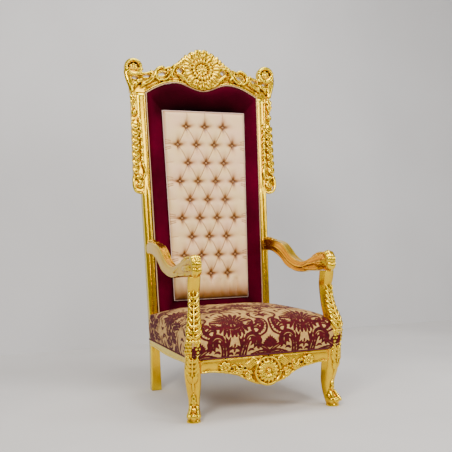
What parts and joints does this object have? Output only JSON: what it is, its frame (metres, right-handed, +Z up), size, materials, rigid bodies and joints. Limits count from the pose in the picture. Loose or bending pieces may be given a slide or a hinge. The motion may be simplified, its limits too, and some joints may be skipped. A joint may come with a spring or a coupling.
{
  "type": "baroque armchair",
  "caption": "Tall baroque armchair with a carved gilded frame, tufted satin back in a velvet border and a tight damask seat.",
  "frame": {"origin": "on the floor, in the middle of the chair's box", "axes": "+Z up, the chair faces -Y; left (-X) and right (+X) in the names are as seen from the front"},
  "size_m": [0.8491, 0.8673, 1.7995],
  "materials": {
    "gilded_wood": "gold leaf over carved wood, burnished on the high places",
    "burgundy_velvet": "padded pile velvet",
    "champagne_satin": "diamond-tufted satin",
    "damask": "two-colour damask, gold ground and burgundy pattern",
    "satin_piping": "satin-covered piping",
    "dark_piping": "dark covered piping",
    "burgundy_cloth": "plain woven cover"
  },
  "bodies": {
    "root": {"arm_left": "gilded_wood", "arm_right": "gilded_wood", "back_border": "burgundy_velvet", "back_panel": "champagne_satin", "back_post_left": "gilded_wood", "back_post_right": "gilded_wood", "button_01": "champagne_satin", "button_02": "champagne_satin", "button_03": "champagne_satin", "button_04": "champagne_satin", "button_05": "champagne_satin", "button_06": "champagne_satin", "button_07": "champagne_satin", "button_08": "champagne_satin", "button_09": "champagne_satin", "button_10": "champagne_satin", "button_11": "champagne_satin", "button_12": "champagne_satin", "button_13": "champagne_satin", "button_14": "champagne_satin", "button_15": "champagne_satin", "button_16": "champagne_satin", "button_17": "champagne_satin", "button_18": "champagne_satin", "button_19": "champagne_satin", "button_20": "champagne_satin", "button_21": "champagne_satin", "button_22": "champagne_satin", "button_23": "champagne_satin", "button_24": "champagne_satin", "button_25": "champagne_satin", "button_26": "champagne_satin", "button_27": "champagne_satin", "button_28": "champagne_satin", "button_29": "champagne_satin", "button_30": "champagne_satin", "button_31": "champagne_satin", "crest_rail": "gilded_wood", "frame_piping": "satin_piping", "front_leg_left": "gilded_wood", "front_leg_right": "gilded_wood", "front_rail": "gilded_wood", "outside_back": "burgundy_cloth", "panel_piping": "satin_piping", "rear_seat_rail": "gilded_wood", "seat_cushion": "damask", "seat_piping_front": "dark_piping", "seat_piping_left": "dark_piping", "seat_piping_right": "dark_piping", "side_rail_left": "gilded_wood", "side_rail_right": "gilded_wood"}
  },
  "joints": []
}
